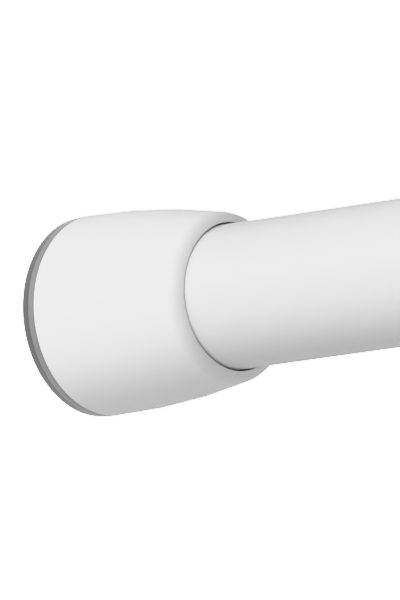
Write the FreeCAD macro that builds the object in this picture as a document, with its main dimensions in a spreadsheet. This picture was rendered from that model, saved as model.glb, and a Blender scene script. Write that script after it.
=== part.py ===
"""Spring tension rod: two telescoping steel tubes between two rubber-faced end caps.

A coil spring in the outer tube pushes a screw spindle, and a nut in the inner tube runs along that
spindle, so turning the inner tube sets the length and the spring gives the grip.

The rod lies along +X with +Z up. The origin is the middle of the left pad's wall face.
Sizes are millimetres, and the rod is drawn partly extended with its spring relaxed.
"""

import FreeCAD, Part
import math
import os
import re

import Sketcher

# Driving sizes

SIZES = {
    # Tubes
    "outer_tube_dia": 25.4,
    "outer_tube_wall": 0.7,
    "outer_tube_length": 530.0,
    "inner_tube_dia": 22.2,
    "inner_tube_wall": 0.6,
    "inner_tube_length": 460.0,
    # How far the nut can run back towards the spindle's head, and out towards its stop
    "closing_travel": 90.0,
    "opening_travel": 210.0,
    "stop_gap": 2.0,
    # Clearances, all on the radius
    "running_clearance": 0.15,
    "push_fit_clearance": 0.05,
    "socket_clearance": 0.2,
    "crush_rib_clearance": 0.03,
    "spindle_clearance": 0.3,
    # End caps
    "cap_length": 32.1,
    "cap_end_wall": 4.75,
    "cap_shoulder_wall": 2.2,
    "cap_lip_length": 2.3,
    "cap_side_radius": 158.0,
    "cap_web": 2.3,
    "socket_wall": 1.7,
    "core_width": 1.1,
    "core_depth": 14.0,
    "core_rib_width": 1.4,
    "crush_rib_width": 1.2,
    "crush_rib_length": 22.0,
    # Wall pads
    "pad_thickness": 2.9,
    "pad_rim_thickness": 1.3,
    "pad_step": 0.1,
    "pad_edge_radius": 0.3,
    "pad_land_dia": 12.0,
    "groove_width": 1.2,
    "groove_depth": 0.5,
    "groove_pitch": 2.8,
    "stud_dia": 5.0,
    "barb_dia": 6.6,
    "barb_tip_dia": 4.0,
    "barb_length": 2.2,
    # Plug in the outer tube's wall end, which seats the spring
    "plug_flange": 2.0,
    "plug_body_length": 11.6,
    "plug_bore_dia": 9.5,
    # Coil spring
    "wire_dia": 1.8,
    "coil_inner_dia": 17.0,
    "spring_length": 96.0,
    # Screw spindle
    "spigot_length": 10.0,
    "spigot_chamfer": 1.0,
    "head_length": 14.0,
    "head_land": 3.5,
    "head_waist_dia": 18.0,
    "head_core_dia": 9.0,
    "head_core_depth": 20.0,
    "spindle_dia": 12.0,
    # Stop washer and its screw at the spindle's free end
    "stop_dia": 18.6,
    "stop_thickness": 2.5,
    "screw_dia": 4.0,
    "screw_length": 18.0,
    "screw_head_dia": 8.0,
    "screw_head_height": 3.0,
    "screw_crown_dia": 5.6,
    "screw_slot_width": 1.2,
    "screw_slot_depth": 1.4,
    # Nut plug in the inner tube, with a nose that carries the guide bush
    "nut_body_length": 26.0,
    "nut_flange": 2.0,
    "nut_nose_length": 12.0,
    "nut_nose_dia": 17.0,
    "nut_lip_height": 0.7,
    "nut_lip_length": 1.5,
    "nut_slit_width": 1.6,
    "nut_slit_length": 20.0,
    "button_dia": 4.6,
    "button_rise": 0.2,
    "button_inset": 13.0,
    "bush_groove_depth": 0.8,
    "bush_land": 3.0,
    "bush_split": 2.0,
    # Collar in the outer tube's mouth
    "collar_sleeve_length": 14.0,
    "collar_flange_length": 3.0,
    "collar_flange_height": 0.6,
    "collar_edge_radius": 1.0,
}

CORE_RIBS = 8
CRUSH_RIBS = 6
PAD_GROOVES = 3
SPRING_ACTIVE_TURNS = 5
SPRING_CLOSED_TURNS = 1
ARC_SPANS_PER_TURN = 3
WIRE_SIDES = 8
CROSS_ARMS = 4

# Places along the rod, as formulas of the sizes

MOUTH_RADIUS = "(outer_tube_dia / 2 + socket_clearance)"
CAP_RADIUS = f"({MOUTH_RADIUS} + cap_end_wall)"
SHOULDER_RADIUS = f"({MOUTH_RADIUS} + cap_shoulder_wall)"
OUTER_BORE = "(outer_tube_dia / 2 - outer_tube_wall)"
INNER_BORE = "(inner_tube_dia / 2 - inner_tube_wall)"
SPIGOT_RADIUS = "(coil_inner_dia / 2 - push_fit_clearance)"
NUT_LENGTH = "(nut_nose_length + nut_flange + nut_body_length)"
SHAFT_LENGTH = f"(closing_travel + {NUT_LENGTH} + opening_travel + 2 * stop_gap)"
PLUG_X = "(pad_thickness + cap_web)"
OUTER_TUBE_X = f"({PLUG_X} + plug_flange)"
SPRING_X = f"({OUTER_TUBE_X} + plug_body_length)"
SPINDLE_X = f"({SPRING_X} + spring_length - spigot_length)"
SHAFT_X = f"({SPRING_X} + spring_length + head_length)"
STOP_X = f"({SHAFT_X} + {SHAFT_LENGTH})"
NUT_X = f"({SHAFT_X} + stop_gap + closing_travel)"
INNER_TUBE_X = f"({NUT_X} + nut_nose_length + nut_flange)"
RIGHT_CAP_X = f"({INNER_TUBE_X} + inner_tube_length + cap_web)"
ROD_LENGTH = f"({RIGHT_CAP_X} + pad_thickness)"

doc = FreeCAD.newDocument("spring_tension_rod")
sheet = doc.addObject("Spreadsheet::Sheet", "Sizes")
for row, (size_name, size) in enumerate(SIZES.items(), start=1):
    sheet.set(f"A{row}", size_name)
    sheet.set(f"B{row}", str(size))
    sheet.setAlias(f"B{row}", size_name)
doc.recompute()

nodes = []


def formula(text):
    """Writes a formula of size names as an expression on the sheet's cells."""
    return re.sub(r"[a-z_]+", lambda name: f"Sizes.{name[0]}", text)


def number(text):
    """Works out a formula of size names."""
    return float(sheet.evalExpression(formula(text)))


def new_body(name, place="0", turned=False):
    """Starts a sub-part whose own X axis lies along the rod, from place towards +X, or -X if turned."""
    body = doc.addObject("PartDesign::Body", name)
    body.Label = name
    if turned:
        body.Placement = FreeCAD.Placement(FreeCAD.Vector(), FreeCAD.Rotation(FreeCAD.Vector(0, 0, 1), 180))
    body.setExpression("Placement.Base.x", formula(place))
    nodes.append(body)
    return body


def new_sketch(body, name, role, height="0"):
    """Attaches a sketch to one of the body's origin planes, raised along the plane's normal."""
    sketch = body.newObject("Sketcher::SketchObject", f"{body.Name}_{name}")
    plane = next(item for item in body.Origin.OriginFeatures if item.Role == role)
    sketch.AttachmentSupport = [(plane, "")]
    sketch.MapMode = "FlatFace"
    if height != "0":
        sketch.setExpression("AttachmentOffset.Base.z", formula(height))
    return sketch


def place_point(sketch, geometry, end, across, up):
    """Holds a sketch point at two formulas, measured from the sketch's origin."""
    for kind, axis, text in (("DistanceX", -2, across), ("DistanceY", -1, up)):
        if text == "0":
            sketch.addConstraint(Sketcher.Constraint("PointOnObject", geometry, end, axis))
            continue
        index = sketch.addConstraint(Sketcher.Constraint(kind, -1, 1, geometry, end, number(text)))
        sketch.setExpression(f"Constraints[{index}]", formula(text))


def arc_between(start, end, radius, bulge):
    """Arc from start to end that bulges to the left (1) or right (-1) of the way between them.

    Returns the arc and whether the sketch counts it from start to end.
    """
    way = end - start
    side = FreeCAD.Vector(-way.y, way.x, 0).normalize() * bulge
    centre = (start + end) * 0.5 - side * math.sqrt(radius**2 - way.Length**2 / 4)
    forward = bulge < 0
    first, last = (start, end) if forward else (end, start)
    angles = [math.atan2(point.y - centre.y, point.x - centre.x) for point in (first, last)]
    circle = Part.Circle(centre, FreeCAD.Vector(0, 0, 1), radius)
    return Part.ArcOfCircle(circle, *angles), forward


def draw_outline(sketch, corners, arcs=None):
    """Draws a closed outline through corners, each a pair of formulas.

    arcs maps the corner where an arc starts to its radius and bulge. The radius is a formula, or
    a first guess in millimetres where the arc runs on smoothly from the one before.
    """
    arcs = arcs or {}
    points = [FreeCAD.Vector(number(across), number(up), 0) for across, up in corners]
    ends = []
    for index, start in enumerate(points):
        end = points[(index + 1) % len(points)]
        forward = True
        if index in arcs:
            radius, bulge = arcs[index]
            guess = number(radius) if isinstance(radius, str) else radius
            shape, forward = arc_between(start, end, guess, bulge)
        else:
            shape = Part.LineSegment(start, end)
        ends.append((sketch.addGeometry(shape), 1 if forward else 2, 2 if forward else 1))
    for index, (geometry, first, _) in enumerate(ends):
        before, _, last = ends[index - 1]
        smooth = index in arcs and not isinstance(arcs[index][0], str)
        kind = "Tangent" if smooth else "Coincident"
        sketch.addConstraint(Sketcher.Constraint(kind, before, last, geometry, first))
        place_point(sketch, geometry, first, *corners[index])
    for index, (radius, _) in arcs.items():
        if isinstance(radius, str):
            held = sketch.addConstraint(Sketcher.Constraint("Radius", ends[index][0], number(radius)))
            sketch.setExpression(f"Constraints[{held}]", formula(radius))


def draw_box(sketch, left, right, bottom, top):
    """Draws a rectangle between four formulas."""
    draw_outline(sketch, [(left, bottom), (right, bottom), (right, top), (left, top)])


def draw_circle(sketch, across, up, dia):
    """Draws a circle with its centre at two formulas."""
    centre = FreeCAD.Vector(number(across), number(up), 0)
    circle = sketch.addGeometry(Part.Circle(centre, FreeCAD.Vector(0, 0, 1), number(dia) / 2))
    place_point(sketch, circle, 3, across, up)
    held = sketch.addConstraint(Sketcher.Constraint("Diameter", circle, number(dia)))
    sketch.setExpression(f"Constraints[{held}]", formula(dia))


def turn(body, corners, arcs=None):
    """Turns an outline of distances along the rod and radii round the rod's axis."""
    sketch = new_sketch(body, "outline", "XY_Plane")
    draw_outline(sketch, corners, arcs)
    feature = body.newObject("PartDesign::Revolution", f"{body.Name}_turned")
    feature.Profile = sketch
    feature.ReferenceAxis = (sketch, ["H_Axis"])
    feature.Angle = 360
    doc.recompute()
    return feature


def raise_pad(body, sketch, length):
    """Raises a sketch by a formula along its plane's normal."""
    feature = body.newObject("PartDesign::Pad", f"{sketch.Name}_raised")
    feature.Profile = sketch
    feature.setExpression("Length", formula(length))
    doc.recompute()
    return feature


def cut_pocket(body, sketch, length, both_ways=False):
    """Cuts a sketch by a formula along its plane's normal, or half of it each way."""
    before = body.Tip.Shape.Volume
    feature = body.newObject("PartDesign::Pocket", f"{sketch.Name}_cut")
    feature.Profile = sketch
    feature.setExpression("Length", formula(length))
    feature.Reversed = not both_ways
    feature.Midplane = both_ways
    doc.recompute()
    if feature.Shape.Volume >= before:
        raise RuntimeError(f"{feature.Name} cuts nothing")
    return feature


def repeat_round(body, feature, count):
    """Repeats a feature evenly round the rod's axis."""
    pattern = body.newObject("PartDesign::PolarPattern", f"{feature.Name}_pattern")
    pattern.Originals = [feature]
    axis = next(item for item in body.Origin.OriginFeatures if item.Role == "X_Axis")
    pattern.Axis = (axis, [""])
    pattern.Angle = 360
    pattern.Occurrences = count
    body.Tip = pattern
    doc.recompute()


def make_tube(name, place, dia, bore, length):
    """Plain round tube, bore being a radius."""
    body = new_body(name, place)
    outside = f"{dia} / 2"
    turn(body, [("0", bore), ("0", outside), (length, outside), (length, bore)])
    return body


def make_cap(name, place, tube_dia, turned=False):
    """Moulded end cap: a barrel that curves in to its mouth, a socket for the tube and a web.

    The wall side is cored between barrel and socket, with ribs across the core.
    Crush ribs in the socket hold the tube.
    """
    body = new_body(name, place, turned)
    socket = f"({tube_dia} / 2 + socket_clearance)"
    core_inside = f"({socket} + socket_wall)"
    core_outside = f"({MOUTH_RADIUS} + socket_wall + core_width)"
    hole = "(stud_dia / 2 + push_fit_clearance)"
    corners = [
        ("0", hole),
        ("0", core_inside),
        ("core_depth", core_inside),
        ("core_depth", core_outside),
        ("0", core_outside),
        ("0", CAP_RADIUS),
        ("cap_length - cap_lip_length", SHOULDER_RADIUS),
        ("cap_length", MOUTH_RADIUS),
    ]
    if tube_dia != "outer_tube_dia":
        # Both caps share one outside, so a thinner tube leaves a flat ring in the mouth
        corners.append(("cap_length", socket))
    corners += [("cap_web", socket), ("cap_web", hole)]
    lip_guess = 2 * number("cap_lip_length")
    turn(body, corners, {5: ("cap_side_radius", 1), 6: (lip_guess, 1)})

    core_rib = new_sketch(body, "core_rib", "YZ_Plane")
    overlap = "socket_wall / 4"
    draw_box(
        core_rib,
        f"{core_inside} - {overlap}",
        f"{core_outside} + {overlap}",
        "-core_rib_width / 2",
        "core_rib_width / 2",
    )
    repeat_round(body, raise_pad(body, core_rib, "core_depth"), CORE_RIBS)

    crush_rib = new_sketch(body, "crush_rib", "YZ_Plane", "cap_web")
    draw_box(
        crush_rib,
        f"{tube_dia} / 2 + crush_rib_clearance",
        f"{socket} + {overlap}",
        "-crush_rib_width / 2",
        "crush_rib_width / 2",
    )
    repeat_round(body, raise_pad(body, crush_rib, "crush_rib_length"), CRUSH_RIBS)
    return body


def make_pad(name, place, turned=False):
    """Rubber disc with ring grooves round a flat middle, and a barbed stud that holds it in the cap.

    A rim next to the cap stands a little proud of the disc that touches the wall.
    """
    body = new_body(name, place, turned)
    disc = f"({CAP_RADIUS} - pad_step)"
    rim_x = "pad_thickness - pad_rim_thickness"
    corners = [("0", "0")]
    for groove in range(PAD_GROOVES):
        inside = f"pad_land_dia / 2 + {groove} * groove_pitch"
        outside = f"{inside} + groove_width"
        corners += [
            ("0", inside),
            ("groove_depth", f"{inside} + groove_depth / 2"),
            ("groove_depth", f"{outside} - groove_depth / 2"),
            ("0", outside),
        ]
    edge = len(corners)
    barb_x = "pad_thickness + cap_web + push_fit_clearance"
    corners += [
        ("0", f"{disc} - pad_edge_radius"),
        ("pad_edge_radius", disc),
        (rim_x, disc),
        (rim_x, CAP_RADIUS),
        ("pad_thickness", CAP_RADIUS),
        ("pad_thickness", "stud_dia / 2"),
        (barb_x, "stud_dia / 2"),
        (barb_x, "barb_dia / 2"),
        (f"{barb_x} + barb_length", "barb_tip_dia / 2"),
        (f"{barb_x} + barb_length", "0"),
    ]
    turn(body, corners, {edge: ("pad_edge_radius", 1)})
    return body


def make_spring_plug():
    """Flanged plug between the tube's end and the cap's web, with a spigot inside the spring."""
    body = new_body("spring_plug", PLUG_X)
    shell = f"{OUTER_BORE} - push_fit_clearance"
    seat = "plug_flange + plug_body_length"
    corners = [
        ("0", "plug_bore_dia / 2"),
        ("0", "outer_tube_dia / 2"),
        ("plug_flange", "outer_tube_dia / 2"),
        ("plug_flange", shell),
        (seat, shell),
        (seat, SPIGOT_RADIUS),
        (f"{seat} + spigot_length - spigot_chamfer", SPIGOT_RADIUS),
        (f"{seat} + spigot_length", f"{SPIGOT_RADIUS} - spigot_chamfer"),
        (f"{seat} + spigot_length", "plug_bore_dia / 2"),
    ]
    turn(body, corners)


def tangent_arc(start, corner, end):
    """Arc from start to end that runs tangent to both lines to corner, which are equally long."""
    middle = (start + end) * 0.5
    half = (end - start).Length / 2
    radius = half * (corner - start).Length / (corner - middle).Length
    outward = (corner - middle).normalize()
    centre = middle - outward * math.sqrt(radius**2 - half**2)
    return Part.Arc(start, centre + outward * radius, end).toShape()


def coil_path(radius, advances):
    """Wire of tangent arcs that follows a helix about X, advancing by one of advances in each span."""
    step = 2 * math.pi / ARC_SPANS_PER_TURN
    along = [0.0]
    for advance in advances:
        along.append(along[-1] + advance)
    slopes = [advances[0]] + [(a + b) / 2 for a, b in zip(advances, advances[1:])] + [advances[-1]]
    points = []
    tangents = []
    for index, (distance, slope) in enumerate(zip(along, slopes)):
        angle = index * step
        across, up = math.cos(angle), math.sin(angle)
        points.append(FreeCAD.Vector(distance, radius * across, radius * up))
        tangents.append(FreeCAD.Vector(slope / step, -radius * up, radius * across).normalize())
    edges = []
    for start, end, leaving, arriving in zip(points, points[1:], tangents, tangents[1:]):
        way = end - start
        spread = 2 * (1 - leaving.dot(arriving))
        reach = way.dot(leaving + arriving)
        arm = (math.sqrt(reach**2 + spread * way.dot(way)) - reach) / spread
        first, last = start + leaving * arm, end - arriving * arm
        joint = (first + last) * 0.5
        edges += [tangent_arc(start, first, joint), tangent_arc(joint, last, end)]
    return Part.Wire(edges), points[0], tangents[0]


def wire_section(start, direction):
    """Outline of the spring's wire where it starts: a flat-sided stand-in inside the round wire."""
    turn_to_wire = FreeCAD.Rotation(FreeCAD.Vector(0, 0, 1), direction)
    step = 2 * math.pi / WIRE_SIDES
    corners = []
    for side in range(WIRE_SIDES + 1):
        corner = FreeCAD.Vector(math.cos(side * step), math.sin(side * step), 0) * number("wire_dia / 2")
        corners.append(start + turn_to_wire.multVec(corner))
    return Part.makePolygon(corners)


def make_spring():
    """Compression spring with a closed turn at each end, ground flat. Flat-sided wire keeps it light."""
    wire = number("wire_dia")
    length = number("spring_length")
    radius = number("coil_inner_dia / 2") + wire / 2
    spans = ARC_SPANS_PER_TURN
    closed = [wire / spans] * (SPRING_CLOSED_TURNS * spans)
    open_advance = (length - wire / 2 - 2 * sum(closed)) / (SPRING_ACTIVE_TURNS * spans)
    advances = closed + [open_advance] * (SPRING_ACTIVE_TURNS * spans) + closed
    path, start, direction = coil_path(radius, advances)
    coil = path.makePipeShell([wire_section(start, direction)], True, False)
    coil.translate(FreeCAD.Vector(wire / 4, 0, 0))
    ground = Part.makeCylinder(radius + wire, length, FreeCAD.Vector(), FreeCAD.Vector(1, 0, 0))
    spring = doc.addObject("Part::Feature", "spring")
    spring.Label = "spring"
    spring.Shape = coil.common(ground)
    spring.setExpression("Placement.Base.x", formula(SPRING_X))
    nodes.append(spring)


def make_spindle():
    """Moulded spindle: a spigot in the spring, a two-land piston head and a long screw shaft."""
    body = new_body("spindle", SPINDLE_X)
    head = f"{OUTER_BORE} - running_clearance"
    head_x = "spigot_length"
    shaft_x = "spigot_length + head_length"
    end_x = f"{shaft_x} + {SHAFT_LENGTH}"
    pilot = "screw_dia / 2 + push_fit_clearance"
    pilot_x = f"{end_x} - screw_length"
    corners = [
        ("0", "head_core_dia / 2"),
        ("0", f"{SPIGOT_RADIUS} - spigot_chamfer"),
        ("spigot_chamfer", SPIGOT_RADIUS),
        (head_x, SPIGOT_RADIUS),
        (head_x, head),
        (f"{head_x} + head_land", head),
        (f"{head_x} + head_land", "head_waist_dia / 2"),
        (f"{shaft_x} - head_land", "head_waist_dia / 2"),
        (f"{shaft_x} - head_land", head),
        (shaft_x, head),
        (shaft_x, "spindle_dia / 2"),
        (end_x, "spindle_dia / 2"),
        (end_x, pilot),
        (pilot_x, pilot),
        (pilot_x, "0"),
        ("head_core_depth", "0"),
        ("head_core_depth", "head_core_dia / 2"),
    ]
    turn(body, corners)


def make_spindle_stop():
    """Washer that keeps the nut on the spindle."""
    body = new_body("spindle_stop", STOP_X)
    hole = "screw_dia / 2 + push_fit_clearance"
    outside = "stop_dia / 2"
    turn(body, [("0", hole), ("0", outside), ("stop_thickness", outside), ("stop_thickness", hole)])


def make_stop_screw():
    """Pan-head screw with a cross recess, from the tip of its shank towards +X."""
    body = new_body("stop_screw", f"{STOP_X} + stop_thickness - screw_length")
    shank = "screw_dia / 2"
    head = "screw_head_dia / 2"
    head_end = "screw_length + screw_head_height"
    corners = [
        ("0", "0"),
        ("0", f"{shank} / 2"),
        (shank, shank),
        ("screw_length", shank),
        ("screw_length", head),
        ("screw_length + screw_head_height / 2", head),
        (head_end, "screw_crown_dia / 2"),
        (head_end, "0"),
    ]
    turn(body, corners)
    slot = new_sketch(body, "slot", "YZ_Plane", f"{head_end} - screw_slot_depth")
    half_width = "screw_slot_width / 2"
    draw_box(slot, "0", "screw_crown_dia / 2", f"-{half_width}", half_width)
    repeat_round(body, cut_pocket(body, slot, "screw_slot_depth"), CROSS_ARMS)


def make_nut_plug():
    """Nut that fills the inner tube's end, held by two sprung buttons in the tube's holes."""
    body = new_body("nut_plug", NUT_X)
    shell = f"{INNER_BORE} - push_fit_clearance"
    lip = "nut_nose_dia / 2 + nut_lip_height"
    flange_x = "nut_nose_length"
    body_x = "nut_nose_length + nut_flange"
    corners = [
        ("0", "0"),
        ("0", "nut_nose_dia / 2"),
        ("nut_lip_length / 2", lip),
        ("nut_lip_length", lip),
        ("nut_lip_length", "nut_nose_dia / 2"),
        (flange_x, "nut_nose_dia / 2"),
        (flange_x, "inner_tube_dia / 2"),
        (body_x, "inner_tube_dia / 2"),
        (body_x, shell),
        (NUT_LENGTH, shell),
        (NUT_LENGTH, "0"),
    ]
    turn(body, corners)

    buttons = new_sketch(body, "buttons", "XZ_Plane")
    draw_circle(buttons, f"{body_x} + button_inset", "0", "button_dia")
    pins = raise_pad(body, buttons, "inner_tube_dia + 2 * button_rise")
    pins.Midplane = True

    bore = new_sketch(body, "bore", "YZ_Plane")
    draw_circle(bore, "0", "0", "spindle_dia + 2 * spindle_clearance")
    cut_pocket(body, bore, NUT_LENGTH)

    slit = new_sketch(body, "slit", "XY_Plane")
    draw_box(
        slit,
        f"{NUT_LENGTH} - nut_slit_length",
        NUT_LENGTH,
        "-nut_slit_width / 2",
        "nut_slit_width / 2",
    )
    cut_pocket(body, slit, "inner_tube_dia", both_ways=True)


def make_guide_bush():
    """Split bush on the nut's nose that slides along the outer tube without turning."""
    body = new_body("guide_bush", f"{NUT_X} + nut_lip_length + running_clearance")
    length = "(nut_nose_length - nut_lip_length - 2 * running_clearance)"
    bore = "nut_nose_dia / 2 + running_clearance"
    outside = f"({OUTER_BORE} - running_clearance)"
    waist = f"{outside} - bush_groove_depth"
    corners = [
        ("0", bore),
        ("0", outside),
        ("bush_land", outside),
        ("bush_land", waist),
        (f"{length} - bush_land", waist),
        (f"{length} - bush_land", outside),
        (length, outside),
        (length, bore),
    ]
    turn(body, corners)
    split = new_sketch(body, "split", "YZ_Plane")
    draw_box(split, "-bush_split / 2", "bush_split / 2", "0", outside)
    cut_pocket(body, split, length)


def make_mouth_collar():
    """Collar that lines the outer tube's mouth and covers its cut edge."""
    place = f"{OUTER_TUBE_X} + outer_tube_length - collar_sleeve_length"
    body = new_body("mouth_collar", place)
    bore = "inner_tube_dia / 2 + running_clearance"
    sleeve = f"{OUTER_BORE} - push_fit_clearance"
    flange = "outer_tube_dia / 2 + collar_flange_height"
    end_x = "collar_sleeve_length + collar_flange_length"
    corners = [
        ("0", bore),
        ("0", sleeve),
        ("collar_sleeve_length", sleeve),
        ("collar_sleeve_length", flange),
        (f"{end_x} - collar_edge_radius", flange),
        (end_x, f"{flange} - collar_edge_radius"),
        (end_x, bore),
    ]
    turn(body, corners, {4: ("collar_edge_radius", 1)})


def make_inner_tube():
    """Thinner tube, pierced right across for the nut's buttons."""
    body = make_tube("inner_tube", INNER_TUBE_X, "inner_tube_dia", INNER_BORE, "inner_tube_length")
    holes = new_sketch(body, "holes", "XZ_Plane")
    draw_circle(holes, "button_inset", "0", "button_dia + 2 * running_clearance")
    cut_pocket(body, holes, "2 * inner_tube_dia", both_ways=True)


def build():
    """Builds every sub-part, from the left wall to the right."""
    make_pad("left_pad", "0")
    make_cap("left_cap", "pad_thickness", "outer_tube_dia")
    make_spring_plug()
    make_tube("outer_tube", OUTER_TUBE_X, "outer_tube_dia", OUTER_BORE, "outer_tube_length")
    make_spring()
    make_spindle()
    make_spindle_stop()
    make_stop_screw()
    make_guide_bush()
    make_nut_plug()
    make_inner_tube()
    make_mouth_collar()
    make_cap("right_cap", RIGHT_CAP_X, "inner_tube_dia", turned=True)
    make_pad("right_pad", ROD_LENGTH, turned=True)
    doc.recompute()


def check():
    """Stops if any object failed or any sub-part has no single valid solid."""
    for item in doc.Objects:
        if {"Invalid", "Error"} & set(item.State):
            raise RuntimeError(f"{item.Name} failed: {item.State}")
    for node in nodes:
        if node.Shape.isNull() or not node.Shape.isValid() or len(node.Shape.Solids) != 1:
            raise RuntimeError(f"{node.Label} isn't one valid solid")


def write():
    """Writes each sub-part to its own file."""
    os.makedirs("parts", exist_ok=True)
    for node in nodes:
        node.Shape.exportStep(f"parts/{node.Label}.step")
        box = node.Shape.optimalBoundingBox()
        print(f"{node.Label}: x {box.XMin:.2f} to {box.XMax:.2f} mm, {node.Shape.Volume:.1f} mm3")


build()
check()
write()
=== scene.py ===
"""Dresses the solids of a spring tension rod as the real one looks.

White powder-coated tubes run between two white moulded end caps with grey rubber wall pads. Inside
them are a coil spring, a screw spindle with its stop, and a nut with its guide bush.
The rod lies along +X with +Z up, and the origin is the middle of the left pad's wall face.
"""

from __future__ import annotations

import logging
import math

from dataclasses import dataclass
from enum import Enum
from typing import Any, Iterable, Sequence

import bpy
from mathutils import Matrix, Vector

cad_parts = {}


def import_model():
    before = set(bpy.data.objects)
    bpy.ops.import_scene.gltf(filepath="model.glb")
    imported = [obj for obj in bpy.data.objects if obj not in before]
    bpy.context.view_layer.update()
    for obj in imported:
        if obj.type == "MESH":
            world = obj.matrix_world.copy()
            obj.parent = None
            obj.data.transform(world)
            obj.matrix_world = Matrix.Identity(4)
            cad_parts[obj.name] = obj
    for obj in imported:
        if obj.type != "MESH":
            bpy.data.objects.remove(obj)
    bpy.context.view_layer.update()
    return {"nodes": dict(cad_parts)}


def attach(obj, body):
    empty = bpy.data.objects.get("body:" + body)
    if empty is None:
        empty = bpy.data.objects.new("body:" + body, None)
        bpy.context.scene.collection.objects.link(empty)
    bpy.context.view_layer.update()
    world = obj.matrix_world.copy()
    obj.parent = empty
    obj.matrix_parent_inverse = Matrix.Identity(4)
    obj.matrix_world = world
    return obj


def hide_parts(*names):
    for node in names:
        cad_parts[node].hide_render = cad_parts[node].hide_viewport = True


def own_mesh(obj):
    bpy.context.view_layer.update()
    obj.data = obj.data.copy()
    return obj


LOG = logging.getLogger("tension_rod")

MM = 0.001
TURN_STEPS = 128
ARC_STEP_DEG = 4.0
ARC_STEPS_LEAST = 3
ROUND_SEGMENTS = 4
MERGE_DISTANCE = 1e-6
SMOOTH_ANGLE = math.radians(32)
EDGE_SLACK = 0.015
CLOUD_DETAIL = 3.0
CLOUD_ROUGHNESS = 0.55
CLOUD_LOW = 0.3
CLOUD_HIGH = 0.7
GRAIN_DETAIL = 1.5
GRAIN_ROUGHNESS = 0.5
MIX_FACTOR = 0
MIX_TONE = 6
MIX_SHADE = 7
MIX_RESULT = 2
COMBINED_CURVE = 3


class Body(Enum):
    """Moving groups that the dressed pieces ride with."""

    OUTER = "outer"
    SPINDLE = "spindle"
    INNER = "inner"


class Slot(Enum):
    """Material slots of the dressed pieces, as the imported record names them."""

    POWDER_COAT = "powder_coat"
    CAP = "cap_moulding"
    COLLAR = "collar_moulding"
    PAD = "pad_rubber"
    SPRING = "spring_steel"
    SPINDLE = "spindle_moulding"


class Facing(Enum):
    """Wall that an end piece is drawn from."""

    LEFT_WALL = 1
    RIGHT_WALL = -1


class Combine(Enum):
    """How one mesh is combined with another."""

    UNITE = "UNION"
    CUT = "DIFFERENCE"


def linear(hex_colour: str) -> tuple[float, float, float, float]:
    """Turns an sRGB hex colour into linear red, green, blue and alpha."""
    channels = [int(hex_colour[i : i + 2], 16) / 255 for i in (1, 3, 5)]
    red, green, blue = (c / 12.92 if c <= 0.04045 else ((c + 0.055) / 1.055) ** 2.4 for c in channels)
    return red, green, blue, 1.0


def per_size(size_mm: float) -> float:
    """Gives the texture scale that makes one feature of a pattern as wide as size_mm."""
    return 1.0 / (size_mm * MM)


def add_node(
    tree: bpy.types.NodeTree, kind: str, inputs: dict[Any, Any] | None = None, **settings: Any
) -> bpy.types.Node:
    """Adds a node with its settings and links.

    Args:
        tree: Node tree that gets the node.
        kind: Blender's name for the node type.
        inputs: Values or output sockets, by the name or number of the input they go to.
        settings: The node's own properties.

    Returns:
        The new node.
    """
    node = tree.nodes.new(kind)
    for name, value in settings.items():
        setattr(node, name, value)
    for name, value in (inputs or {}).items():
        if isinstance(value, bpy.types.NodeSocket):
            tree.links.new(value, node.inputs[name])
        else:
            node.inputs[name].default_value = value
    return node


@dataclass(frozen=True)
class Finish:
    """A real material: its two close tones, how rough it is and the grain of its skin."""

    name: str
    tone: str
    tone_shade: str
    tone_size_mm: float
    roughness_low: float
    roughness_high: float
    grain_size_mm: float
    grain_height_mm: float
    metallic: float = 0.0
    ior: float = 1.5
    sheen: float = 0.0

    def make(self) -> bpy.types.Material:
        """Makes the material from noise in the piece's own coordinates.

        Returns:
            The finished material.
        """
        material = bpy.data.materials.new(self.name)
        material.use_nodes = True
        tree = material.node_tree
        shader = tree.nodes["Principled BSDF"]
        place = add_node(tree, "ShaderNodeTexCoord").outputs["Object"]
        cloud = add_node(
            tree,
            "ShaderNodeTexNoise",
            {
                "Vector": place,
                "Scale": per_size(self.tone_size_mm),
                "Detail": CLOUD_DETAIL,
                "Roughness": CLOUD_ROUGHNESS,
            },
        )
        colour = add_node(
            tree,
            "ShaderNodeMix",
            {
                MIX_FACTOR: cloud.outputs["Fac"],
                MIX_TONE: linear(self.tone),
                MIX_SHADE: linear(self.tone_shade),
            },
            data_type="RGBA",
        )
        tree.links.new(colour.outputs[MIX_RESULT], shader.inputs["Base Color"])
        grain = add_node(
            tree,
            "ShaderNodeTexNoise",
            {
                "Vector": place,
                "Scale": per_size(self.grain_size_mm),
                "Detail": GRAIN_DETAIL,
                "Roughness": GRAIN_ROUGHNESS,
            },
        )
        rough = add_node(
            tree,
            "ShaderNodeMapRange",
            {
                "Value": cloud.outputs["Fac"],
                "From Min": CLOUD_LOW,
                "From Max": CLOUD_HIGH,
                "To Min": self.roughness_low,
                "To Max": self.roughness_high,
            },
            interpolation_type="SMOOTHSTEP",
        )
        tree.links.new(rough.outputs["Result"], shader.inputs["Roughness"])
        bump = add_node(
            tree,
            "ShaderNodeBump",
            {"Height": grain.outputs["Fac"], "Strength": 1.0, "Distance": self.grain_height_mm * MM},
        )
        tree.links.new(bump.outputs["Normal"], shader.inputs["Normal"])
        shader.inputs["Metallic"].default_value = self.metallic
        shader.inputs["Sheen Weight"].default_value = self.sheen
        if not self.metallic:
            shader.inputs["IOR"].default_value = self.ior
        return material


# Polyester powder coat, baked on steel tube: an even white with a soft gloss and a faint orange peel.
POWDER_COAT = Finish(
    name="polyester_powder_coat",
    tone="#e4e4e4",
    tone_shade="#e1e1e1",
    tone_size_mm=45.0,
    roughness_low=0.28,
    roughness_high=0.34,
    grain_size_mm=1.5,
    grain_height_mm=0.004,
)
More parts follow.
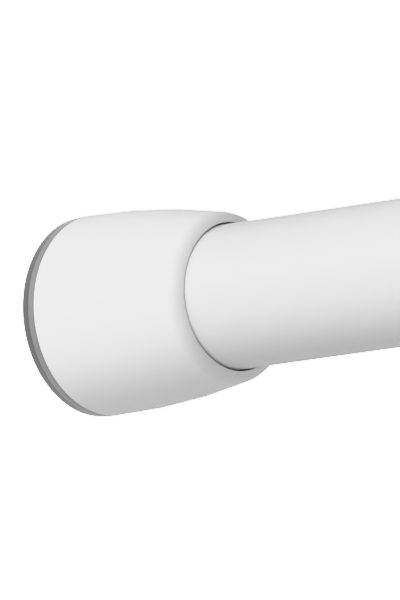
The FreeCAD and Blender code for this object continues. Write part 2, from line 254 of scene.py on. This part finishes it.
# Injection-moulded ABS: a clean white satin skin, with a fine spark-eroded grain from the mould.
MOULDED_ABS = Finish(
    name="injection_moulded_abs",
    tone="#f3f3f3",
    tone_shade="#f0f0f0",
    tone_size_mm=30.0,
    roughness_low=0.40,
    roughness_high=0.48,
    grain_size_mm=0.35,
    grain_height_mm=0.003,
)
# Compression-moulded rubber: a dull dark grey with a fine matt grain and a chalky bloom, pale edge on.
MOULDED_RUBBER = Finish(
    name="compression_moulded_rubber",
    tone="#565658",
    tone_shade="#4c4c4e",
    tone_size_mm=4.0,
    roughness_low=0.62,
    roughness_high=0.76,
    grain_size_mm=0.4,
    grain_height_mm=0.012,
    sheen=1.0,
)
# The same rubber on the rim band next to the cap, painted paler than the face to stand in for light on
# the rim (painted light), and smoother, with the same bloom.
PAINTED_LIGHT_RIM_RUBBER = Finish(
    name="rubber_rim_painted_light",
    tone="#868689",
    tone_shade="#7c7c7f",
    tone_size_mm=3.0,
    roughness_low=0.42,
    roughness_high=0.54,
    grain_size_mm=0.5,
    grain_height_mm=0.006,
    sheen=1.0,
)
# Cold-drawn spring wire: bright grey steel, clouded by the film of oil that keeps rust off.
SPRING_WIRE = Finish(
    name="cold_drawn_spring_wire",
    tone="#a9aaad",
    tone_shade="#86878b",
    tone_size_mm=3.0,
    roughness_low=0.24,
    roughness_high=0.38,
    grain_size_mm=0.3,
    grain_height_mm=0.004,
    metallic=1.0,
)
# Injection-moulded polypropylene, natural: a milky off-white with a waxy sheen.
NATURAL_POLYPROPYLENE = Finish(
    name="natural_polypropylene",
    tone="#e6e3d8",
    tone_shade="#dad7ca",
    tone_size_mm=25.0,
    roughness_low=0.38,
    roughness_high=0.50,
    grain_size_mm=0.5,
    grain_height_mm=0.004,
)
# Injection-moulded acetal: near black, smooth and slightly greasy to the eye.
BLACK_ACETAL = Finish(
    name="injection_moulded_acetal",
    tone="#26272a",
    tone_shade="#1d1e20",
    tone_size_mm=12.0,
    roughness_low=0.34,
    roughness_high=0.46,
    grain_size_mm=0.4,
    grain_height_mm=0.003,
)
# Injection-moulded polypropylene, white: duller and a little greyer than the caps.
WHITE_POLYPROPYLENE = Finish(
    name="white_polypropylene",
    tone="#dededb",
    tone_shade="#d3d3d0",
    tone_size_mm=20.0,
    roughness_low=0.42,
    roughness_high=0.54,
    grain_size_mm=0.5,
    grain_height_mm=0.004,
)
# Zinc-plated steel: pale silver with the cloudy crystals of the plating.
ZINC_PLATE = Finish(
    name="zinc_plated_steel",
    tone="#c9cbc8",
    tone_shade="#aeb2b3",
    tone_size_mm=1.6,
    roughness_low=0.26,
    roughness_high=0.42,
    grain_size_mm=0.8,
    grain_height_mm=0.003,
    metallic=1.0,
)
# Matt painted board under the rod: pale grey with barely any pattern.
STUDIO_FLOOR = Finish(
    name="matt_painted_board",
    tone="#d5d5d5",
    tone_shade="#d1d1d1",
    tone_size_mm=400.0,
    roughness_low=0.80,
    roughness_high=0.90,
    grain_size_mm=3.0,
    grain_height_mm=0.02,
)


@dataclass(frozen=True)
class Corner:
    """One corner of a half section: along the rod and out from its axis, in mm, with its edge round."""

    x: float
    r: float
    edge: float = 0.0


class Outline:
    """Half section of a turned piece, drawn corner by corner with lines and arcs, in mm."""

    def __init__(self, x: float, r: float, edge: float = 0.0) -> None:
        """Starts the section at one corner."""
        self.corners = [Corner(x, r, edge)]
        self.heading = Vector((1.0, 0.0))

    def line(self, x: float, r: float, edge: float = 0.0) -> Outline:
        """Draws a straight side to the next corner."""
        last = self.corners[-1]
        self.heading = Vector((x - last.x, r - last.r)).normalized()
        self.corners.append(Corner(x, r, edge))
        return self

    def arc(self, x: float, r: float, heading: Vector) -> Outline:
        """Draws an arc that leaves the last corner along heading.

        Args:
            x: Where the arc ends, along the rod.
            r: Where the arc ends, out from the axis.
            heading: Direction of the arc where it starts.

        Returns:
            The outline itself.
        """
        start = Vector((self.corners[-1].x, self.corners[-1].r))
        chord = Vector((x, r)) - start
        turn = 2 * heading.angle_signed(chord)
        steps = max(ARC_STEPS_LEAST, math.ceil(abs(math.degrees(turn)) / ARC_STEP_DEG))
        side = chord.length / 2 / math.sin(turn / 2)
        centre = start + Vector((heading.y, -heading.x)) * side
        spoke = start - centre
        for step in range(1, steps + 1):
            spot = centre + Matrix.Rotation(-turn * step / steps, 2) @ spoke
            self.corners.append(Corner(spot.x, spot.y))
        self.heading = Matrix.Rotation(-turn, 2) @ heading
        return self

    def bow(self, x: float, r: float, radius: float) -> Outline:
        """Draws a shallow arc of a given radius that bulges away from the axis."""
        chord = Vector((x - self.corners[-1].x, r - self.corners[-1].r))
        lift = math.asin(chord.length / 2 / radius)
        return self.arc(x, r, Matrix.Rotation(lift, 2) @ chord.normalized())

    def sweep(self, x: float, r: float) -> Outline:
        """Draws an arc that carries on smoothly from the last side."""
        return self.arc(x, r, self.heading)


def deselect_all() -> None:
    """Leaves nothing selected, so that an operator acts only on what is made next."""
    if bpy.context.object and bpy.context.object.mode != "OBJECT":
        bpy.ops.object.mode_set(mode="OBJECT")
    bpy.ops.object.select_all(action="DESELECT")


def pick_points(piece: bpy.types.Object, places: Iterable[Vector]) -> None:
    """Selects only the points at some places, from edit mode.

    Args:
        piece: Mesh object in edit mode.
        places: Where the wanted points are, in the piece's own coordinates.
    """
    bpy.ops.mesh.select_mode(type="VERT")
    bpy.ops.mesh.select_all(action="DESELECT")
    bpy.ops.object.mode_set(mode="OBJECT")
    wanted = list(places)
    for point in piece.data.vertices:
        point.select = any((point.co - place).length < MERGE_DISTANCE for place in wanted)
    bpy.ops.object.mode_set(mode="EDIT")


def draw_section(
    name: str, outline: Outline, place: float, facing: Facing = Facing.LEFT_WALL, closed: bool = True
) -> bpy.types.Object:
    """Draws a half section as a line of edges with its corners rounded, and stays in edit mode.

    Args:
        name: Name of the new object.
        outline: Half section, with x counted from place.
        place: Where the section starts along the rod, in mm.
        facing: Wall that x is counted away from.
        closed: True where the last corner is joined to the first.

    Returns:
        The mesh object of the section.
    """
    deselect_all()
    corners = outline.corners
    bpy.ops.mesh.primitive_circle_add(vertices=len(corners), radius=MM, fill_type="NOTHING")
    piece = bpy.context.object
    piece.name = piece.data.name = name
    spots = [Vector(((place + facing.value * c.x) * MM, 0.0, c.r * MM)) for c in corners]
    for point, spot in zip(piece.data.vertices, spots):
        point.co = spot
    bpy.ops.object.mode_set(mode="EDIT")
    if not closed:
        pick_points(piece, (spots[0], spots[-1]))
        bpy.ops.mesh.delete(type="EDGE")
    for edge in sorted({c.edge for c in corners if c.edge}):
        pick_points(piece, [s for s, c in zip(spots, corners) if c.edge == edge])
        bpy.ops.mesh.bevel(offset=edge * MM, segments=ROUND_SEGMENTS, affect="VERTICES")
    return piece


def turn_piece(
    name: str, outline: Outline, place: float, facing: Facing = Facing.LEFT_WALL, solid: bool = False
) -> bpy.types.Object:
    """Turns a half section round the rod's axis, as on a lathe.

    Args:
        name: Name of the new object.
        outline: Half section, with x counted from place.
        place: Where the section starts along the rod, in mm.
        facing: Wall that x is counted away from.
        solid: True where the section starts and ends on the axis, False where it is a ring.

    Returns:
        The turned mesh object.
    """
    piece = draw_section(name, outline, place, facing, closed=not solid)
    bpy.ops.mesh.select_all(action="SELECT")
    bpy.ops.mesh.spin(steps=TURN_STEPS, angle=2 * math.pi, center=(0, 0, 0), axis=(1, 0, 0))
    close_mesh()
    return piece


def trim_ends(piece: bpy.types.Object, first: float, last: float) -> None:
    """Cuts a mesh off square at two places along the rod, in mm, and closes the cuts."""
    deselect_all()
    piece.select_set(True)
    bpy.context.view_layer.objects.active = piece
    bpy.ops.object.mode_set(mode="EDIT")
    bpy.ops.mesh.select_all(action="SELECT")
    bpy.ops.mesh.remove_doubles(threshold=MERGE_DISTANCE)
    for along, way in ((first, 1.0), (last, -1.0)):
        bpy.ops.mesh.select_all(action="SELECT")
        bpy.ops.mesh.bisect(
            plane_co=(along * MM, 0, 0),
            plane_no=(way, 0, 0),
            use_fill=True,
            clear_inner=True,
            threshold=MERGE_DISTANCE / 10,
        )
    close_mesh()


def ring_of_ribs(
    first: float, last: float, inside: float, outside: float, width: float, count: int
) -> bpy.types.Object:
    """Sets straight ribs evenly round the rod's axis.

    Args:
        first: Where the ribs start along the rod, in mm.
        last: Where they end along the rod.
        inside: How far their inner sides are from the axis.
        outside: How far their outer sides are from the axis.
        width: How thick each rib is.
        count: How many there are.

    Returns:
        One mesh object with all the ribs.
    """
    deselect_all()
    middle = Vector(((first + last) / 2, (inside + outside) / 2, 0.0)) * MM
    block = (abs(last - first), outside - inside, width)
    bpy.ops.mesh.primitive_cube_add(size=MM, location=middle, scale=block)
    bpy.ops.object.transform_apply(location=True, rotation=True, scale=True)
    bpy.ops.object.mode_set(mode="EDIT")
    bpy.ops.mesh.select_all(action="SELECT")
    for _ in range(count - 1):
        bpy.ops.mesh.duplicate()
        bpy.ops.transform.rotate(value=2 * math.pi / count, orient_axis="X", center_override=(0, 0, 0))
    bpy.ops.mesh.select_all(action="SELECT")
    bpy.ops.mesh.normals_make_consistent(inside=False)
    bpy.ops.object.mode_set(mode="OBJECT")
    return bpy.context.object


def combine(piece: bpy.types.Object, other: bpy.types.Object, way: Combine) -> None:
    """Unites another mesh with a piece, or cuts it out of the piece, and removes that mesh."""
    deselect_all()
    piece.select_set(True)
    bpy.context.view_layer.objects.active = piece
    fit = piece.modifiers.new("combine", "BOOLEAN")
    fit.operation = way.value
    fit.solver = "EXACT"
    fit.object = other
    bpy.ops.object.modifier_apply(modifier=fit.name)
    bpy.data.meshes.remove(other.data)
    bpy.ops.object.mode_set(mode="EDIT")
    close_mesh()


def close_mesh() -> None:
    """Merges seams and poles of the mesh in edit mode, faces it outwards and shades it by angle."""
    bpy.ops.mesh.select_all(action="SELECT")
    bpy.ops.mesh.remove_doubles(threshold=MERGE_DISTANCE)
    bpy.ops.mesh.normals_make_consistent(inside=False)
    bpy.ops.object.mode_set(mode="OBJECT")
    bpy.ops.object.shade_smooth_by_angle(angle=SMOOTH_ANGLE)


class FinishShelf:
    """Keeps one material for each finish, so that pieces of one finish share it."""

    def __init__(self) -> None:
        """Starts with no material."""
        self.made: dict[str, bpy.types.Material] = {}

    def take(self, finish: Finish) -> bpy.types.Material:
        """Gives a finish's material, made at its first use."""
        if finish.name not in self.made:
            self.made[finish.name] = finish.make()
        return self.made[finish.name]


@dataclass
class Piece:
    """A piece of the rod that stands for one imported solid."""

    node: str
    body: Body
    slot: Slot
    finish: Finish

    @property
    def name(self) -> str:
        """Name of the dressed piece."""
        return f"{self.node}_dressed"

    def build(self) -> bpy.types.Object:
        """Builds the piece's mesh."""
        raise NotImplementedError

    def dress(self, made: bpy.types.Object, materials: FinishShelf) -> None:
        """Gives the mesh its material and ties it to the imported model.

        Args:
            made: The piece's mesh object.
            materials: Where the finishes are kept.
        """
        made.data.materials.clear()
        made.data.materials.append(materials.take(self.finish))
        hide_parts(self.node)
        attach(made, self.body.value)


@dataclass
class EndCap(Piece):
    """Moulded cap: a barrel that curves in to its mouth, a socket for the tube and a web."""

    place: float
    facing: Facing
    tube_dia: float
    radius: float = 17.65
    length: float = 32.1
    lip_length: float = 2.3
    shoulder_radius: float = 15.1
    side_radius: float = 158.0
    mouth_radius: float = 12.9
    socket_clearance: float = 0.2
    socket_wall: float = 1.7
    core_outside: float = 15.7
    core_depth: float = 14.0
    web: float = 2.3
    stud_hole: float = 2.55
    edge: float = 0.15
    core_ribs: int = 8
    core_rib_width: float = 1.4
    crush_ribs: int = 6
    crush_rib_width: float = 1.2
    crush_rib_length: float = 22.0
    crush_rib_clearance: float = 0.03
    rib_root: float = 0.42
    mouth_rise: float = 1.010
    mouth_squeeze: float = 0.995

    def ease_mouth(self, cap: bpy.types.Object, socket: float) -> None:
        """Eases the mouth's inner edge above and below the tube, and closes it in a little beside it.

        Args:
            cap: The turned cap.
            socket: Radius of the socket, in mm.
        """
        bpy.ops.object.mode_set(mode="EDIT")
        bpy.ops.mesh.select_all(action="DESELECT")
        bpy.ops.object.mode_set(mode="OBJECT")
        near = self.edge + EDGE_SLACK
        for point in cap.data.vertices:
            depth = self.length - abs(point.co.x / MM - self.place)
            out = math.hypot(point.co.y, point.co.z) / MM
            point.select = depth < near and out < socket + near
        bpy.ops.object.mode_set(mode="EDIT")
        bpy.ops.transform.resize(value=(1.0, self.mouth_squeeze, self.mouth_rise))
        bpy.ops.object.mode_set(mode="OBJECT")

    def build(self) -> bpy.types.Object:
        """Turns the cap's section and sets its ribs in the core and the socket."""
        socket = self.tube_dia / 2 + self.socket_clearance
        core_inside = socket + self.socket_wall
        section = Outline(0.0, self.stud_hole)
        section.line(0.0, core_inside, self.edge).line(self.core_depth, core_inside)
        section.line(self.core_depth, self.core_outside).line(0.0, self.core_outside, self.edge)
        section.line(0.0, self.radius, self.edge)
        section.bow(self.length - self.lip_length, self.shoulder_radius, self.side_radius)
        section.sweep(self.length, self.mouth_radius)
        if self.mouth_radius - socket > self.edge:
            section.line(self.length, socket, self.edge)
        section.line(self.web, socket).line(self.web, self.stud_hole)
        cap = turn_piece(self.name, section, self.place, self.facing)
        self.ease_mouth(cap, socket)
        way = self.facing.value
        core = ring_of_ribs(
            self.place + way * self.edge,
            self.place + way * (self.core_depth + self.rib_root),
            core_inside - self.rib_root,
            self.core_outside + self.rib_root,
            self.core_rib_width,
            self.core_ribs,
        )
        combine(cap, core, Combine.UNITE)
        crush = ring_of_ribs(
            self.place + way * (self.web - self.rib_root),
            self.place + way * (self.web + self.crush_rib_length),
            self.tube_dia / 2 + self.crush_rib_clearance,
            socket + self.rib_root,
            self.crush_rib_width,
            self.crush_ribs,
        )
        combine(cap, crush, Combine.UNITE)
        return cap


@dataclass
class WallPad(Piece):
    """Rubber disc with ring grooves round a flat middle, and a barbed stud that holds it in the cap."""

    place: float
    facing: Facing
    radius: float = 17.65
    thickness: float = 2.9
    rim_thickness: float = 1.3
    step: float = 0.1
    edge_radius: float = 0.3
    land_radius: float = 6.0
    grooves: int = 3
    groove_width: float = 1.2
    groove_depth: float = 0.5
    groove_pitch: float = 2.8
    groove_edge: float = 0.12
    rim_edge: float = 0.08
    stud_radius: float = 2.5
    barb_x: float = 5.25
    barb_radius: float = 3.3
    barb_tip_radius: float = 2.0
    barb_length: float = 2.2

    def build(self) -> bpy.types.Object:
        """Turns the pad's section."""
        slope = self.groove_depth / 2
        section = Outline(0.0, 0.0)
        for groove in range(self.grooves):
            inside = self.land_radius + groove * self.groove_pitch
            outside = inside + self.groove_width
            section.line(0.0, inside, self.groove_edge)
            section.line(self.groove_depth, inside + slope, self.groove_edge)
            section.line(self.groove_depth, outside - slope, self.groove_edge)
            section.line(0.0, outside, self.groove_edge)
        disc = self.radius - self.step
        rim_x = self.thickness - self.rim_thickness
        section.line(0.0, disc, self.edge_radius).line(rim_x, disc)
        section.line(rim_x, self.radius, self.rim_edge).line(self.thickness, self.radius, self.rim_edge)
        section.line(self.thickness, self.stud_radius)
        section.line(self.barb_x, self.stud_radius).line(self.barb_x, self.barb_radius, self.rim_edge)
        section.line(self.barb_x + self.barb_length, self.barb_tip_radius, self.rim_edge)
        section.line(self.barb_x + self.barb_length, 0.0)
        return turn_piece(self.name, section, self.place, self.facing, solid=True)

    def dress(self, made: bpy.types.Object, materials: FinishShelf) -> None:
        """Gives the rim band next to the cap its own paler copy of the rubber: painted light on the same
        rubber.
        """
        super().dress(made, materials)
        made.data.materials.append(materials.take(PAINTED_LIGHT_RIM_RUBBER))
        rim_x = self.thickness - self.rim_thickness
        # Faces on the rim band next to the cap take the paler rubber, which is painted light.
        for face in made.data.polygons:
            along = abs(face.center.x / MM - self.place)
            out = math.hypot(face.center.y, face.center.z) / MM
            if rim_x < along < self.thickness and out > self.radius - self.step:
                face.material_index = 1


@dataclass
class Tube(Piece):
    """Seam-welded steel tube with deburred ends."""

    place: float
    length: float
    outside: float
    wall: float
    hole_at: float = 0.0
    hole_dia: float = 0.0
    drill_reach: float = 4.0
    edge: float = 0.15

    def build(self) -> bpy.types.Object:
        """Turns the tube's wall and drills it right across where it has a hole."""
        bore = self.outside - self.wall
        section = Outline(0.0, bore, self.edge).line(0.0, self.outside, self.edge)
        section.line(self.length, self.outside, self.edge).line(self.length, bore, self.edge)
        tube = turn_piece(self.name, section, self.place)
        if self.hole_dia:
            deselect_all()
            bpy.ops.mesh.primitive_cylinder_add(
                vertices=TURN_STEPS // 2,
                radius=self.hole_dia / 2 * MM,
                depth=self.drill_reach * self.outside * MM,
                location=((self.place + self.hole_at) * MM, 0, 0),
                rotation=(math.pi / 2, 0, 0),
            )
            combine(tube, bpy.context.object, Combine.CUT)
        return tube


@dataclass
class MouthCollar(Piece):
    """Collar that lines the outer tube's mouth and covers its cut edge."""

    place: float
    bore: float = 11.25
    sleeve: float = 11.95
    sleeve_length: float = 14.0
    flange: float = 13.3
    flange_length: float = 3.0
    nose: float = 1.0
    edge: float = 0.2

    def build(self) -> bpy.types.Object:
        """Turns the collar's section."""
        end = self.sleeve_length + self.flange_length
        section = Outline(0.0, self.bore, self.edge).line(0.0, self.sleeve, self.edge)
        section.line(self.sleeve_length, self.sleeve).line(self.sleeve_length, self.flange, self.edge)
        section.line(end, self.flange, self.nose).line(end, self.bore, self.edge)
        return turn_piece(self.name, section, self.place)


@dataclass
class CoilSpring(Piece):
    """Compression spring of round wire, with a closed turn at each end that is ground flat."""

    place: float
    length: float = 96.0
    wire: float = 1.8
    coil_radius: float = 9.4
    active_turns: int = 5
    closed_turns: int = 1
    points_per_turn: int = 20
    line_order: int = 4
    line_steps: int = 3
    wire_detail: int = 4
    keep: float = 0.6875

    def along(self, turn: float) -> float:
        """Gives how far the wire's middle has come along the rod after some turns, in mm."""
        pitch = (self.length - self.wire / 2 - 2 * self.closed_turns * self.wire) / self.active_turns
        open_turns = min(max(turn - self.closed_turns, 0.0), self.active_turns)
        return self.place + self.wire / 4 + (turn - open_turns) * self.wire + open_turns * pitch

    def build(self) -> bpy.types.Object:
        """Winds the wire along its coil and grinds both ends."""
        deselect_all()
        bpy.ops.curve.primitive_nurbs_path_add()
        wire = bpy.context.object
        wire.name = self.name
        wire.data.splines.clear()
        coil = wire.data.splines.new("NURBS")
        turns = self.active_turns + 2 * self.closed_turns
        coil.points.add(turns * self.points_per_turn)
        # The smooth line runs inside its points by this share, so they stand further out.
        reach = self.coil_radius * 3 / (2 + math.cos(2 * math.pi / self.points_per_turn))
        for number, point in enumerate(coil.points):
            turn = number / self.points_per_turn
            angle = 2 * math.pi * turn
            spot = Vector((self.along(turn), reach * math.cos(angle), reach * math.sin(angle))) * MM
            point.co = (*spot, 1.0)
        coil.order_u = self.line_order
        coil.use_endpoint_u = True
        coil.resolution_u = self.line_steps
        wire.data.bevel_depth = self.wire / 2 * MM
        wire.data.bevel_resolution = self.wire_detail
        wire.data.use_fill_caps = True
        bpy.ops.object.convert(target="MESH")
        wire.data.name = self.name
        trim_ends(wire, self.place, self.place + self.length)
        return wire

    def dress(self, made: bpy.types.Object, materials: FinishShelf) -> None:
        """Gives the spring its own copy of its mesh."""
        super().dress(made, materials)
        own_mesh(made)


@dataclass
class Spindle(Piece):
    """Moulded spindle: a spigot in the spring, a two-land piston head and a long coarse screw."""

    place: float
    spigot_length: float = 10.0
    spigot_radius: float = 8.45
    spigot_chamfer: float = 1.0
    core_radius: float = 4.5
    core_depth: float = 20.0
    head_length: float = 14.0
    head_radius: float = 11.85
    head_land: float = 3.5
    waist_radius: float = 9.0
    shaft_length: float = 344.0
    crest_radius: float = 6.0
    root_radius: float = 4.6
    lead: float = 10.0
    crest_width: float = 2.6
    flank: float = 1.5
    pilot_radius: float = 2.05
    pilot_depth: float = 18.0
    edge: float = 0.2
    root_overlap: float = 0.5
    steps: int = 48

    def head(self) -> bpy.types.Object:
        """Turns the spigot and the piston head, with the core that keeps their walls thin."""
        waist_x = self.spigot_length + self.head_land
        shaft_x = self.spigot_length + self.head_length
        section = Outline(self.core_depth, 0.0).line(self.core_depth, self.core_radius, self.edge)
        section.line(0.0, self.core_radius, self.edge).line(0.0, self.spigot_radius - self.spigot_chamfer)
        section.line(self.spigot_chamfer, self.spigot_radius).line(self.spigot_length, self.spigot_radius)
        section.line(self.spigot_length, self.head_radius, self.edge)
        section.line(waist_x, self.head_radius, self.edge).line(waist_x, self.waist_radius, self.edge)
        section.line(shaft_x - self.head_land, self.waist_radius, self.edge)
        section.line(shaft_x - self.head_land, self.head_radius, self.edge)
        section.line(shaft_x, self.head_radius, self.edge).line(shaft_x, 0.0)
        return turn_piece("spindle_head", section, self.place, solid=True)

    def screw(self) -> bpy.types.Object:
        """Sweeps one lead of the right-hand thread along the shaft and cuts it to length."""
        start = self.place + self.spigot_length + self.head_length
        rise = (self.lead - self.crest_width) / 2 - self.flank
        section = Outline(0.0, self.root_radius).line(rise, self.root_radius, self.edge)
        section.line(rise + self.flank, self.crest_radius, self.edge)
        section.line(self.lead - rise - self.flank, self.crest_radius, self.edge)
        section.line(self.lead - rise, self.root_radius, self.edge).line(self.lead, self.root_radius)
        rod = draw_section(self.name, section, start - self.lead, closed=False)
        bpy.ops.object.mode_set(mode="OBJECT")
        sweep = rod.modifiers.new("thread", "SCREW")
        sweep.axis = "X"
        sweep.screw_offset = self.lead * MM
        sweep.iterations = math.ceil(self.shaft_length / self.lead) + 2
        sweep.steps = sweep.render_steps = self.steps
        sweep.use_merge_vertices = True
        sweep.merge_threshold = MERGE_DISTANCE
        bpy.ops.object.modifier_apply(modifier=sweep.name)
        trim_ends(rod, start - self.root_overlap, start + self.shaft_length)
        return rod

    def build(self) -> bpy.types.Object:
        """Joins the head to the screw and drills the pilot hole for the stop's screw."""
        spindle = self.screw()
        combine(spindle, self.head(), Combine.UNITE)
        end = self.place + self.spigot_length + self.head_length + self.shaft_length
        hole = Outline(0.0, 0.0).line(0.0, self.pilot_radius)
        hole.line(self.pilot_depth + self.edge, self.pilot_radius).line(self.pilot_depth + self.edge, 0.0)
        combine(spindle, turn_piece("pilot_hole", hole, end - self.pilot_depth, solid=True), Combine.CUT)
        return spindle


@dataclass(frozen=True)
class PhotoCamera:
    """Long-lens camera below the rod's left end, looking up at it."""

    azimuth: float = math.radians(44.6)
    elevation: float = math.radians(-8.4)
    lens: float = 1000.0
    sensor: float = 36.0
    distance: float = 2.904
    aim_along: float = 16.45
    shift_right: float = 6.97
    shift_up: float = 1.28
    nearest: float = 0.05
    furthest: float = 200.0

    def place(self) -> None:
        """Adds the camera and makes it the scene's own."""
        flat = math.cos(self.elevation)
        back = Vector(
            (math.sin(self.azimuth) * flat, -math.cos(self.azimuth) * flat, math.sin(self.elevation))
        )
        right = Vector((math.cos(self.azimuth), math.sin(self.azimuth), 0.0))
        up = back.cross(right)
        aim = Vector((self.aim_along, 0.0, 0.0)) + right * self.shift_right + up * self.shift_up
        deselect_all()
        bpy.ops.object.camera_add()
        camera = bpy.context.object
        camera.name = "photo_camera"
        camera.data.lens = self.lens
        camera.data.sensor_fit = "AUTO"
        camera.data.sensor_width = self.sensor
        camera.data.clip_start = self.nearest
        camera.data.clip_end = self.furthest
        turn = Matrix((right, up, back)).transposed().to_4x4()
        camera.matrix_world = Matrix.Translation(aim * MM + back * self.distance) @ turn
        bpy.context.scene.camera = camera


@dataclass(frozen=True)
class Studio:
    """White studio: a pale floor below the rod, light all round, a key, a side panel and a back fill."""

    floor_along: float = 0.35
    floor_drop: float = 0.8
    floor_size: float = 60.0
    backdrop: float = 4.0
    sky_top: float = 0.30
    sky_horizon: float = 0.60
    horizon_share: float = 0.5
    key_power: float = 255.0
    key_size: float = 3.9
    key_spot: tuple[float, float, float] = (-0.5, -5.6, 2.4)
    panel_power: float = 60.0
    panel_size: float = 4.0
    panel_spot: tuple[float, float, float] = (-4.2, -4.0, 2.2)
    fill_power: float = 120.0
    fill_size: float = 2.4
    fill_spot: tuple[float, float, float] = (-3.0, 5.0, 1.2)
    # Light, as a share of the backdrop's, and the tone that it gives, as a share of white.
    shoulder: tuple[tuple[float, float], ...] = (
        (0.1, 0.4),
        (0.165, 0.66),
        (0.19, 0.742),
        (0.215, 0.805),
        (0.25, 0.845),
        (0.4, 0.867),
    )

    def light_world(self) -> None:
        """Makes the world: plain white to look at, with softer light from it on the rod."""
        world = bpy.data.worlds.new("white_studio")
        bpy.context.scene.world = world
        world.use_nodes = True
        tree = world.node_tree
        tree.nodes.clear()
        way = add_node(tree, "ShaderNodeTexCoord").outputs["Generated"]
        height = add_node(tree, "ShaderNodeSeparateXYZ", {"Vector": way}).outputs["Z"]
        share = add_node(tree, "ShaderNodeMapRange", {"Value": height, "From Min": -1.0, "From Max": 1.0})
        ramp = add_node(tree, "ShaderNodeValToRGB", {"Fac": share.outputs["Result"]})
        stops = ramp.color_ramp.elements
        stops[0].position = self.horizon_share
        stops[0].color = (self.sky_horizon,) * 3 + (1.0,)
        stops[1].color = (self.sky_top,) * 3 + (1.0,)
        soft = add_node(tree, "ShaderNodeBackground", {"Color": ramp.outputs["Color"]})
        plain = add_node(
            tree, "ShaderNodeBackground", {"Color": (1.0, 1.0, 1.0, 1.0), "Strength": self.backdrop}
        )
        seen = add_node(tree, "ShaderNodeLightPath").outputs["Is Camera Ray"]
        mixed = add_node(
            tree,
            "ShaderNodeMixShader",
            {0: seen, 1: soft.outputs["Background"], 2: plain.outputs["Background"]},
        )
        add_node(tree, "ShaderNodeOutputWorld", {"Surface": mixed.outputs["Shader"]})

    def lay_floor(self) -> None:
        """Lays the floor, which isn't part of the rod."""
        deselect_all()
        spot = (self.floor_along, 0.0, -self.floor_drop)
        bpy.ops.mesh.primitive_plane_add(size=self.floor_size, location=spot)
        floor = bpy.context.object
        floor.name = "studio_floor"
        floor.data.materials.append(STUDIO_FLOOR.make())

    def hang_light(self, name: str, spot: tuple[float, float, float], size: float, power: float) -> None:
        """Hangs a round soft light that faces the rod.

        Args:
            name: Name of the light.
            spot: Where it hangs, in metres.
            size: How wide it is, in metres.
            power: How strong it is, in watts.
        """
        deselect_all()
        bpy.ops.object.light_add(type="AREA", location=spot)
        light = bpy.context.object
        light.name = name
        light.data.shape = "DISK"
        light.data.size = size
        light.data.energy = power
        light.visible_camera = False
        light.rotation_euler = Vector(spot).to_track_quat("Z", "Y").to_euler()

    def set_up(self) -> None:
        """Lights the studio and eases the picture's brightest tones, as a camera does."""
        self.light_world()
        self.lay_floor()
        self.hang_light("soft_key", self.key_spot, self.key_size, self.key_power)
        self.hang_light("side_panel", self.panel_spot, self.panel_size, self.panel_power)
        self.hang_light("back_fill", self.fill_spot, self.fill_size, self.fill_power)
        view = bpy.context.scene.view_settings
        view.view_transform = "Standard"
        view.use_curve_mapping = True
        view.curve_mapping.white_level = (self.backdrop,) * 3
        for light, tone in self.shoulder:
            view.curve_mapping.curves[COMBINED_CURVE].points.new(light, tone)
        view.curve_mapping.update()


def rod_pieces() -> Sequence[Piece]:
    """Lists the rod's pieces from the left wall to the right."""
    return (
        WallPad("left_pad", Body.OUTER, Slot.PAD, MOULDED_RUBBER, place=0.0, facing=Facing.LEFT_WALL),
        EndCap(
            "left_cap",
            Body.OUTER,
            Slot.CAP,
            MOULDED_ABS,
            place=2.9,
            facing=Facing.LEFT_WALL,
            tube_dia=25.4,
        ),
        Tube(
            "outer_tube",
            Body.OUTER,
            Slot.POWDER_COAT,
            POWDER_COAT,
            place=7.2,
            length=530.0,
            outside=12.7,
            wall=0.7,
        ),
        MouthCollar("mouth_collar", Body.OUTER, Slot.COLLAR, MOULDED_ABS, place=523.2),
        CoilSpring("spring", Body.OUTER, Slot.SPRING, SPRING_WIRE, place=18.8),
        Spindle("spindle", Body.SPINDLE, Slot.SPINDLE, NATURAL_POLYPROPYLENE, place=104.8),
        Tube(
            "inner_tube",
            Body.INNER,
            Slot.POWDER_COAT,
            POWDER_COAT,
            place=234.8,
            length=460.0,
            outside=11.1,
            wall=0.6,
            hole_at=13.0,
            hole_dia=4.9,
        ),
        EndCap(
            "right_cap",
            Body.INNER,
            Slot.CAP,
            MOULDED_ABS,
            place=697.1,
            facing=Facing.RIGHT_WALL,
            tube_dia=22.2,
        ),
        WallPad("right_pad", Body.INNER, Slot.PAD, MOULDED_RUBBER, place=700.0, facing=Facing.RIGHT_WALL),
    )


def dress_nodes(nodes: dict[str, bpy.types.Object], finishes: dict[str, bpy.types.Material]) -> None:
    """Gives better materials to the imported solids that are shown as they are.

    Args:
        nodes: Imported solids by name.
        finishes: Material of each such solid, by the solid's name.
    """
    for name, material in finishes.items():
        nodes[name].data.materials.clear()
        nodes[name].data.materials.append(material)


def main() -> None:
    """Builds, dresses and lights the rod."""
    logging.basicConfig(level=logging.INFO, format="%(name)s: %(message)s")
    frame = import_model()
    materials = FinishShelf()
    for piece in rod_pieces():
        made = piece.build()
        piece.dress(made, materials)
        LOG.info("%s: %d faces, %s", made.name, len(made.data.polygons), piece.finish.name)
    dress_nodes(
        frame["nodes"],
        {
            "spring_plug": materials.take(WHITE_POLYPROPYLENE),
            "spindle_stop": materials.take(ZINC_PLATE),
            "stop_screw": materials.take(ZINC_PLATE),
            "guide_bush": materials.take(BLACK_ACETAL),
            "nut_plug": materials.take(BLACK_ACETAL),
        },
    )
    Studio().set_up()
    PhotoCamera().place()


if __name__ == "__main__":
    main()
